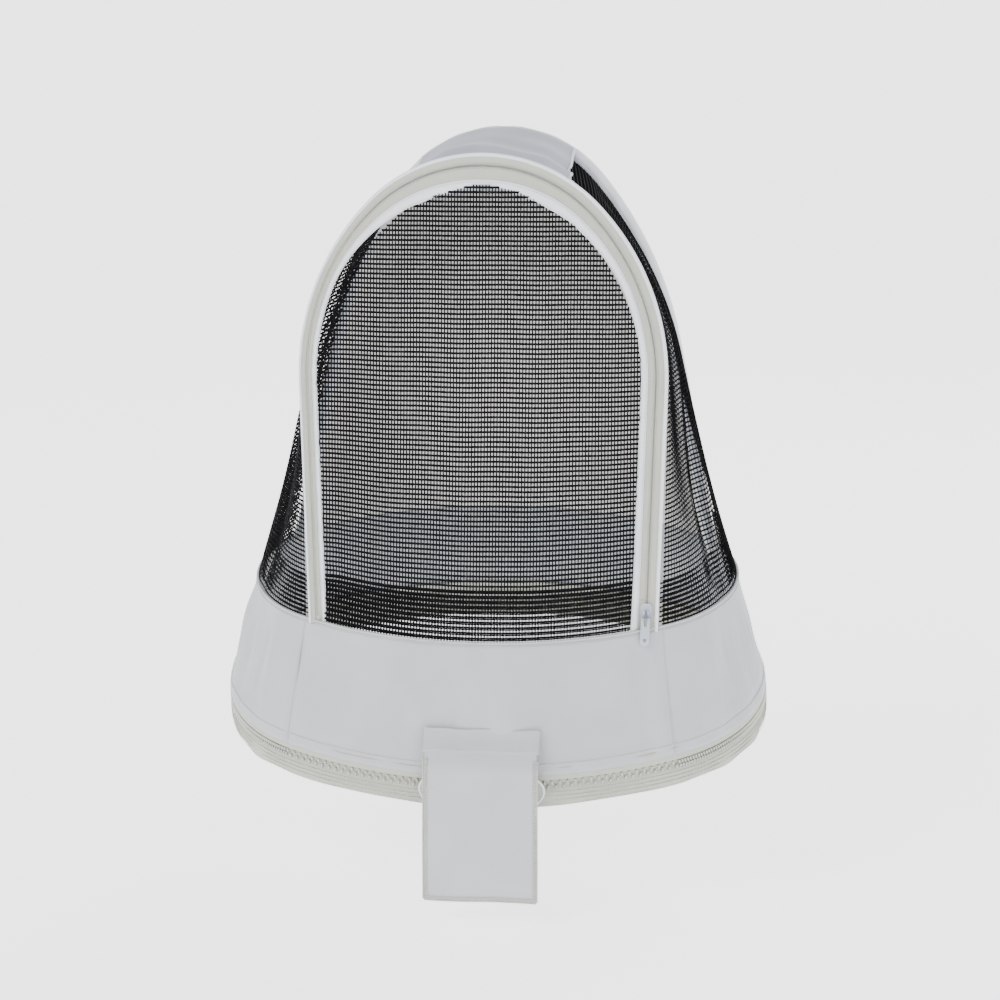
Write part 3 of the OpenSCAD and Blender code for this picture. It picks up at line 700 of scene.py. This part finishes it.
def ring_front_y(x):
    """Depth of the neck seam's front at the side place x."""
    d, _, end = oval_arcs(SEAM[0], SEAM[1])
    turn = math.asin(min(abs(x) / end, 0.5))
    return SEAM[3][1] + (d * math.cos(RING_TURN) - end * math.cos(turn)) * math.cos(SEAM[2])


def lean(p):
    """Brings the foot of the face panel forward to the neck seam."""
    k = clamped((0.115 - p.z) / 0.047) ** 2
    side = clamped((0.126 - abs(p.x)) / 0.010)
    return Vector((p.x, p.y + min(0, ring_front_y(p.x) + 0.0008 - ZIP_Y) * k * side, p.z))


def panel_point(x, z):
    """Point of the bowed face net at a side place and a height."""
    s = (z - PANEL_LOW) / (PANEL_HIGH - PANEL_LOW)
    half = max(0.014, arch_x(FRONT, NET_IN, z))
    u = min(abs(x) / half, 1)
    bow = 0.003 + 0.027 * max(0.0, 1 - s) ** 1.5
    y = ZIP_Y - bow * (1 - u ** 2.4)
    pucker = 0.0007 * math.sin(z * 420 + x * 90) * u ** 6
    y -= 0.0012 * perlin(Vector((x * 24, z * 18, 1))) * (1 - u ** 4) + pucker
    foot = max(0.0, 1 - s) ** 2
    drop = (seam_height(min(y, ring_front_y(x))) - seam_height(ZIP_Y)) * foot
    k = max(0.0, 1 - s * 9) ** 2
    y = y + (ring_front_y(x) + 0.0006 - y) * k
    return Vector((x, y, z + drop - 0.0015 * k + 0.0009 * math.sin(x * 110) * s * (1 - s)))


def panel_width(z):
    """How far the net reaches to the left and to the right at a height, under its binding."""
    up = clamped((z - 0.27) / 0.11)
    return arch_x(FRONT, 0.0120 + 0.0105 * up, z), arch_x(FRONT, 0.0182 + 0.0043 * up, z)


def panel_net(name, top, back, radii, phase=0.0):
    """Net strands of the face panel up to the height top, set back from its surface."""
    weft, warp = [], []
    shift = BACKWARD * back
    for i in range(int((top - PANEL_LOW) / WEFT_PITCH) + 1):
        z = PANEL_LOW + (i + phase) * WEFT_PITCH
        left, right = panel_width(z)
        places = [-left + (left + right) * j / PANEL_STEPS for j in range(PANEL_STEPS + 1)]
        weft.append([panel_point(x, z) + shift for x in places])
    count = int((top + 0.0005 - PANEL_LOW) / WEFT_PITCH * 2) + 1
    heights = [PANEL_LOW + i * WEFT_PITCH / 2 for i in range(count)]
    for j in range(-MOST_WARPS, MOST_WARPS):
        x = (j + 0.5 + phase) * WARP_PITCH
        run = [panel_point(x, z) + shift for z in heights if -panel_width(z)[0] <= x <= panel_width(z)[1]]
        if len(run) > 3:
            warp.append(run)
    return net(name, weft, warp, *radii, OUT)


def on_panel(obj, slot, *nodes):
    """A piece of the face panel: hides the CAD nodes it stands for and bakes its transform into its mesh."""
    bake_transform(named(obj, nodes))
    return obj


face_net = panel_net("face_net", PANEL_HIGH + 0.002, 0, ((0.00112, 0.00035), (0.00066, 0.00030)))
on_panel(face_net, "black_net", "face_mesh")
net_hem = panel_net("face_net_hem", PANEL_LOW + 0.033, 0.0022, ((0.00070, 0.00030), (0.00042, 0.00028)), 0.5)
on_panel(net_hem, "black_net")

# ------------------------------------------------------------ face zip and binding

# Widths of the strips inside the zip's middle, at the top and on the right and left legs
STRIP_TOP, STRIP_RIGHT, STRIP_LEFT, MIDDLE_LEFT = 1.38, 0.74, 0.52, 0.34
STRIP_FOOT, ROW_FOOT, STRIP_STEPS, ROW_STEPS = 67.5 * MM, 68.5 * MM, 150, 170
OUTER_EDGE, INNER_EDGE, ZIP_TAPE_W = ZIP_LINE - 2.1 * MM, ZIP_LINE + 2.1 * MM, 5.5 * MM
COIL_PITCH, COIL_INSET = 1.35 * MM, 1.3 * MM


def spread(o, u):
    """Inset of a strip of the face zip at the place u of the arch: 1 at the right foot, -1 at the left."""
    side = min(1.0, abs(u) / 0.38)
    side = side * side * (3 - 2 * side)
    middle = ZIP_LINE * (1 if u > 0 else 1 - MIDDLE_LEFT * side)
    if o <= ZIP_LINE:
        return o * middle / ZIP_LINE
    return middle + (o - ZIP_LINE) * (STRIP_TOP + ((STRIP_RIGHT if u > 0 else STRIP_LEFT) - STRIP_TOP) * side)


def front_line(o, feet, n):
    """Points (x, z) of the face zip's arch at the inset o, from the right foot to the left foot."""
    line = []
    for i in range(2 * n + 1):
        u = 1 - i / n
        x, z = arch_share(FRONT, spread(o, u), feet[0] if u > 0 else feet[1], 0, 1 - abs(u))
        line.append((math.copysign(x, u), z))
    return line


def right_leg(o, feet, n):
    """Points (x, z) of the right leg at the inset o, between two heights."""
    return [arch_leg(FRONT, spread(o, 1), feet[0] + (feet[1] - feet[0]) * i / n) for i in range(n + 1)]


def arch_strip(name, profile, mat, feet=(STRIP_FOOT, STRIP_FOOT), n=STRIP_STEPS, ripple=0.0, path=front_line):
    """Strip swept along the front arch; the profile is points (inset, height out of the zip's plane)."""
    lines = [path(o, feet, n) for o, _ in profile]
    k = len(profile)
    verts, faces = [], []
    for i in range(len(lines[0])):
        for line, (_, out) in zip(lines, profile):
            rise = out * (1 + ripple * math.sin(i * 0.8))
            y = ZIP_Y - rise + ripple * 0.0006 * math.sin(i * 0.33)
            verts.append(lean(Vector((line[i][0], y, line[i][1]))))
        if i:
            for a in range(k):
                b = (a + 1) % k
                faces.append(((i - 1) * k + a, (i - 1) * k + b, i * k + b, i * k + a))
    faces += [tuple(reversed(range(k))), tuple(len(verts) - k + a for a in range(k))]
    return piece(name, verts, faces, mat)


def pillow(o0, o1, t, edge=0.6 * MM, n=8):
    """Closed profile of a soft band of thickness t: full in the middle, and edge high at both edges."""
    low = edge / (t / 2)
    top = [(o0 + (o1 - o0) * i / n, t / 2 * (low + (1 - low) * math.sin(math.pi * i / n) ** 0.5))
           for i in range(n + 1)]
    return top + [(o, -h) for o, h in reversed(top)]


def arch_row(inset, out, foot=ROW_FOOT):
    """Line along the face zip's arch, whose right end is at the height foot."""
    return [lean(Vector((x, ZIP_Y - out, z))) for x, z in front_line(inset, (foot, ROW_FOOT), ROW_STEPS)]


def coil(name, inset, side, foot=ROW_FOOT):
    """Row of separate coil loops, slanted, whose heads stop short of the zip's middle."""
    line = arch_row(inset, 0, foot)
    verts, faces = [], []
    total, marks = 0.0, []
    for a, b in zip(line, line[1:]):
        step = (b - a).length
        while len(marks) * COIL_PITCH < total + step:
            marks.append((a.lerp(b, (len(marks) * COIL_PITCH - total) / step), (b - a).normalized()))
        total += step
    for p, along in marks:
        across = OUT.cross(along).normalized() * side
        foot_end = p - across * 0.0008 + OUT * 0.0007
        head = p + across * 0.0008 + along * 0.0003 + OUT * 0.0006
        tube(verts, faces, [foot_end, p + OUT * 0.0010, head], (0.00042, 0.00032), 4, OUT)
    return piece(name, verts, faces, COIL)


binding_profile = pillow(BINDING_IN - 0.2 * MM, NET_IN, 2.6 * MM)
binding = arch_strip("face_binding_cloth", binding_profile, BINDING, ripple=0.12)
on_panel(binding, "white_binding", "face_binding")
outer_profile = pillow(OUTER_EDGE - ZIP_TAPE_W, OUTER_EDGE + 1.4 * MM, 1.2 * MM, 0.4 * MM)
finished(arch_strip("face_zip_tape_outer", outer_profile, TAPE), "zip_tape", "face_zip_outer_tape")
# The inner tape starts above the slider, and a short static foot fills the place behind the slider
inner_profile = pillow(INNER_EDGE - 1.4 * MM, INNER_EDGE + ZIP_TAPE_W + 0.3 * MM, 1.2 * MM, 0.4 * MM)
inner_tape = arch_strip("face_zip_tape_inner", inner_profile, TAPE, (SLIDER_TOP, STRIP_FOOT))
on_panel(inner_tape, "zip_tape", "face_zip_inner_tape")
foot_span = (STRIP_FOOT, SLIDER_TOP + 0.4 * MM)
finished(arch_strip("face_zip_tape_foot", inner_profile, TAPE, foot_span, 12, path=right_leg), "zip_tape")
facing = arch_strip("face_outer_facing", pillow(-1.2 * MM, 1.6 * MM, 3.0 * MM), BINDING, ripple=0.1)
finished(facing, "white_binding")
finished(coil("face_zip_coil_outer", ZIP_LINE - COIL_INSET, -1), "zip_coil", "face_zip_outer_coil")
on_panel(coil("face_zip_coil_inner", ZIP_LINE + COIL_INSET, 1, SLIDER_TOP), "zip_coil", "face_zip_inner_coil")
PANEL_STITCHES = {"net_edge": (NET_IN - 1.1 * MM, 1.1 * MM, ROW_FOOT),
                  "tape_edge": (BINDING_IN + 1.2 * MM, 1.1 * MM, ROW_FOOT),
                  "inner_tape": (INNER_EDGE + ZIP_TAPE_W - 1.0 * MM, 0.5 * MM, SLIDER_TOP)}
for label, place in PANEL_STITCHES.items():
    on_panel(stitches(f"panel_stitch_{label}", arch_row(*place), OUT), "white_binding")
hoop_row = arch_row(OUTER_EDGE - ZIP_TAPE_W + 1.2 * MM, 0.5 * MM)
finished(stitches("hoop_stitch_outer_tape", hoop_row, OUT), "white_binding")

# ------------------------------------------------------------ guard over the collar zip's ends

GUARD_HALF, GUARD_R, GUARD_DROP, GUARD_OUT = 35 * MM, 13 * MM, 1.0 * MM, 6.9 * MM
GUARD_RINGS, GUARD_END_STEPS, GUARD_RUN_STEPS = 8, 14, 24
COLLAR_FRONT_R = 312.4 * MM


def guard_loop(shrink):
    """Stadium outline of the guard, shrunk, on the collar's ring and clear of the slider's pull behind it."""
    r = GUARD_R - shrink
    outline = []
    for side, a0 in ((1, -90), (-1, 90)):
        for i in range(GUARD_END_STEPS + 1):
            a = math.radians(a0 + 180 * i / GUARD_END_STEPS)
            outline.append((side * GUARD_HALF + r * math.cos(a) + FLAP_X, r * math.sin(a) - GUARD_DROP))
        for k in range(1, GUARD_RUN_STEPS):
            x = side * GUARD_HALF * (1 - 2 * k / GUARD_RUN_STEPS) + FLAP_X
            outline.append((x, side * r - GUARD_DROP))
    return [ring_point(COLLAR, math.degrees(math.asin(x / COLLAR_FRONT_R)), GUARD_OUT, w) for x, w in outline]


def guard_sheet():
    """The guard's front and back, made of nested outlines, closed at the outer and the innermost one."""
    last = GUARD_RINGS - 1
    rings = [guard_loop(0.0008 + 0.0120 * i / last) for i in range(GUARD_RINGS)]
    n = len(rings[0])
    depth = GUARD_RINGS * n
    verts, faces = [], []
    for out in (0.0004, -0.0005):
        for ring in rings:
            verts += [p + OUT * out for p in ring]
    for layer in (0, depth):
        for i in range(last):
            for k in range(n):
                a, b = layer + i * n + k, layer + i * n + (k + 1) % n
                faces.append((a + n, b + n, b, a) if layer else (a, b, b + n, a + n))
    for k in range(n):
        for edge in (0, last * n):
            a, b = edge + k, edge + (k + 1) % n
            faces.append((a, b, b + depth, a + depth) if edge else (a, a + depth, b + depth, b))
    return piece("zip_guard_cloth", verts, faces, TAPE)


guard = finished(guard_sheet(), "white_binding", "zip_guard_patch")
cord_line = guard_loop(0.6 * MM)
piping = tube_piece("zip_guard_piping_cord", cord_line + cord_line[:2], 1.0 * MM, 8, BINDING, OUT)
finished(piping, "zip_tape", "zip_guard_piping")

# ------------------------------------------------------------ closure flap

FLAP_ROWS, FLAP_COLS, FLAP_T, OVERLOCK_PITCH = 70, 56, 1.6 * MM, 2.6 * MM
# The hook pad: half its width, its height, its place; then steps across it, and rows and columns of hooks
PAD_HALF, PAD_H, PAD_Y, PAD_Z = 25 * MM, 40 * MM, KNEE_Y + 3.3 * MM, HINGE_Z - FLAP_L + 8 * MM
PAD_STEPS, HOOK_ROWS, HOOK_COLS = 24, 26, 34
PATCH_ROWS, PATCH_COLS, PATCH_TOP_Y = 12, 48, -140.2 * MM


def flap_line(s):
    """Depth and height down the flap at the share s, rounded at the knee."""
    z = HINGE_Z + 0.002 - (FLAP_L + 0.002) * s
    k = clamped((HINGE_Z + 0.001 - z) / (HINGE_Z - KNEE_Z))
    return HINGE_Y + (KNEE_Y - HINGE_Y) * math.sin(k * math.pi / 2), z


def flap_grid():
    """The flap, slightly wavy below its hinge."""
    half = FLAP_W / 2 - 1.2 * MM
    grid = []
    for i in range(FLAP_ROWS + 1):
        s = i / FLAP_ROWS
        y, z = flap_line(s)
        row = []
        for j in range(FLAP_COLS + 1):
            u = 2 * j / FLAP_COLS - 1
            soft = 0.0013 * perlin(Vector((u * 1.7, s * 2.6, 6))) + 0.0007 * math.sin(u * 5 + s * 3)
            curl = 0.0005 * math.sin(u * 4) * s
            row.append(Vector((FLAP_X + half * u, y + soft * min(1, s * 3), z + curl)))
        grid.append(row)
    return grid


def on_flap(obj, slot, *nodes):
    """A piece of the flap: hides the CAD nodes it stands for and bakes its transform into its mesh."""
    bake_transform(named(obj, nodes))
    return obj


def overlock_edge(grid):
    """Thread loops that wrap the flap's free edges, with a thread along each side of the edge."""
    left, right, bottom = [row[0] for row in grid[4:]], [row[-1] for row in grid[4:]], grid[-1]
    verts, faces = [], []
    for run, inward in ((left, SIDEWAYS), (right, -SIDEWAYS), (bottom, UP)):
        length = sum((b - a).length for a, b in zip(run, run[1:]))
        count = int(length / OVERLOCK_PITCH)
        for i in range(count):
            q = i / count * (len(run) - 1)
            p = run[int(q)].lerp(run[int(q) + 1], q - int(q))
            step = (run[min(int(q) + 1, len(run) - 1)] - run[max(int(q) - 1, 0)]).normalized() * 0.0009
            f, b = OUT * 0.0004, BACKWARD * 0.0021
            loop = [p + inward * 0.0022 + f,
                    p + inward * 0.0010 + step * 0.5 + f * 1.3,
                    p - inward * 0.0009 + step + f * 0.5,
                    p - inward * 0.0010 + step + b * 0.6,
                    p + inward * 0.0024 + step * 1.6 + b]
            tube(verts, faces, loop, 0.00042, 4, OUT)
        tube(verts, faces, [p + inward * 0.0022 - BACKWARD * 0.0005 for p in run], 0.00034, 5, OUT)
        tube(verts, faces, [p - inward * 0.0007 + BACKWARD * 0.0006 for p in run], (0.0007, 0.0010), 6, OUT)
    return piece("flap_overlock_edge", verts, faces, OVERLOCK)


def hook_patch():
    """Backing of the hook pad, behind the flap's lower end."""
    grid = []
    for i in range(PAD_STEPS + 1):
        z = PAD_Z + PAD_H * i / PAD_STEPS
        places = [FLAP_X + PAD_HALF * (2 * j / PAD_STEPS - 1) for j in range(PAD_STEPS + 1)]
        grid.append([Vector((x, PAD_Y, z)) for x in places])
    return cloth("flap_hook_patch", grid, 0.0011, HOOKS, Vector((FLAP_X, 0.5, -0.1)))


def hooks():
    """Rows of small bent hooks on the pad."""
    verts, faces = [], []
    for i in range(HOOK_ROWS):
        for j in range(HOOK_COLS):
            z = HINGE_Z - FLAP_L + 0.0095 + 0.037 * i / (HOOK_ROWS - 1)
            p = Vector((FLAP_X - 0.0235 + 0.047 * j / (HOOK_COLS - 1), PAD_Y, z))
            hook = [p, p + Vector((0, 0.0007, 0.0002)), p + Vector((0, 0.0009, 0.0006))]
            tube(verts, faces, hook, 0.00016, 3, SIDEWAYS)
    return piece("flap_hooks", verts, faces, HOOKS)


def patch_grid():
    """The stitched patch that holds the flap, from the skirt down to the hinge."""
    grid = []
    for i in range(PATCH_ROWS + 1):
        s = i / PATCH_ROWS
        y = PATCH_TOP_Y + (HINGE_Y - 0.0006 - PATCH_TOP_Y) * s ** 1.4
        z = HINGE_Z + 0.0158 - 0.0162 * s
        row = []
        for j in range(PATCH_COLS + 1):
            x = FLAP_X + (FLAP_W / 2 + 0.0005) * (2 * j / PATCH_COLS - 1)
            row.append(Vector((x, y + 0.0004 * math.sin(j * 0.5) * s, z + 0.0004 * math.sin(j * 0.3))))
        grid.append(row)
    return grid


flap_points = flap_grid()
flap_cloth = on_flap(cloth("flap_cloth", flap_points, FLAP_T, CLOTH, INSIDE), "white_cloth", "flap_panel")
on_flap(overlock_edge(flap_points), "zip_tape", "flap_binding")
on_flap(hook_patch(), "hook_pad")
on_flap(hooks(), "hook_pad", "flap_hook_pad")
patch = patch_grid()
patch_cloth = cloth("flap_patch_cloth", patch, 1.4 * MM, CLOTH, INSIDE)
finished(patch_cloth, "white_cloth", "flap_anchor_patch")
patch_rows = {"stitch_0": patch[1][1:-1], "stitch_1": patch[9][1:-1], "stitch_2": patch[11][1:-1],
              "side_0": [row[1] for row in patch], "side_1": [row[-2] for row in patch]}
for label, row in patch_rows.items():
    finished(stitches(f"flap_patch_{label}", row, OUT, THREAD, 2.8 * MM), "white_cloth")

# ------------------------------------------------------------ camera, floor, light

AIM, AZIMUTH, ELEVATION, DISTANCE = INSIDE, math.radians(7), math.radians(8), 2.2
LENS, SHIFT = 99, (0.003, -0.060)
# Lights: place, size, power, aim
LIGHTS = {"key": ((-1.5, -2.2, 2.2), 1.4, 46, INSIDE),
          "fill": ((2.2, -1.8, 1.2), 2.2, 8, INSIDE),
          "rim": ((1.1, 2.2, 2.2), 1.4, 34, INSIDE),
          "front": ((0.1, -3.0, 0.5), 2.4, 9, INSIDE),
          "inside": ((0.0, -0.02, 0.25), 0.16, 0.16, (0, 0.2, 0.24))}
FLOOR_SPOKES, FLOOR_RINGS, FLOOR_STEP, FLAT_FLOOR_R, FLOOR_RISE = 96, 28, 0.32, 3.2, 0.22
WORLD_STRENGTH = 0.2


def placed(obj, place, towards):
    """Puts a camera or lamp at a place, turned towards a direction."""
    bpy.context.scene.collection.objects.link(obj)
    obj.location = place
    obj.rotation_mode = "QUATERNION"
    obj.rotation_quaternion = towards.to_track_quat("-Z", "Y")


def camera():
    data = bpy.data.cameras.new("camera")
    cam = bpy.data.objects.new("camera", data)
    level = math.cos(ELEVATION)
    back_way = Vector((math.sin(AZIMUTH) * level, -math.cos(AZIMUTH) * level, math.sin(ELEVATION)))
    placed(cam, AIM + back_way * DISTANCE, -back_way)
    data.sensor_width = 36
    data.lens = LENS
    data.shift_x, data.shift_y = SHIFT
    bpy.context.scene.camera = cam


def area_light(name, place, size, power, aim):
    data = bpy.data.lights.new(name, "AREA")
    data.shape, data.size, data.energy = "DISK", size, power
    lamp = bpy.data.objects.new(name, data)
    lamp.visible_camera = False
    placed(lamp, place, Vector(aim) - Vector(place))


def studio_floor():
    """Pale bowl: flat under the object, rising smoothly far away, and faintly glowing."""
    pale = material("floor", (0.95, 0.95, 0.95), 0.9, None, 0.003, bump_depth=0.02, glow=1.8)
    verts, faces, n = [], [], FLOOR_SPOKES
    for i in range(1, FLOOR_RINGS + 1):
        r = FLOOR_STEP * i
        z = cad_box[0][2] - 0.02 + max(0.0, r - FLAT_FLOOR_R) ** 2 * FLOOR_RISE
        verts += [(r * math.cos(math.tau * k / n), r * math.sin(math.tau * k / n), z) for k in range(n)]
    faces.append(tuple(range(n)))
    for i in range(FLOOR_RINGS - 1):
        for k in range(n):
            a, b = i * n + k, i * n + (k + 1) % n
            faces.append((a, b, b + n, a + n))
    return piece("studio_floor", verts, faces, pale)


def world_light():
    world = bpy.data.worlds.new("world")
    bpy.context.scene.world = world
    world.use_nodes = True
    background = world.node_tree.nodes["Background"]
    background.inputs["Color"].default_value = (1, 1, 1, 1)
    background.inputs["Strength"].default_value = WORLD_STRENGTH


camera()
studio_floor()
for name, (place, size, power, aim) in LIGHTS.items():
    area_light(name, place, size, power, aim)
world_light()

# ------------------------------------------------------------ CAD nodes that stay, with finished materials

KEPT = {"front_hoop_rod": STEEL, "rear_hoop_rod": STEEL, "front_hoop_caps": CAPS, "rear_hoop_caps": CAPS,
        "collar_retainer_box": TEETH, "collar_top_stops": METAL, "face_zip_stops": METAL,
        "face_slider": METAL, "face_pull": METAL, "collar_slider": METAL, "collar_pull": METAL}
for node, mat in KEPT.items():
    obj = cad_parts[node]
    obj.data.materials.clear()
    obj.data.materials.append(mat)
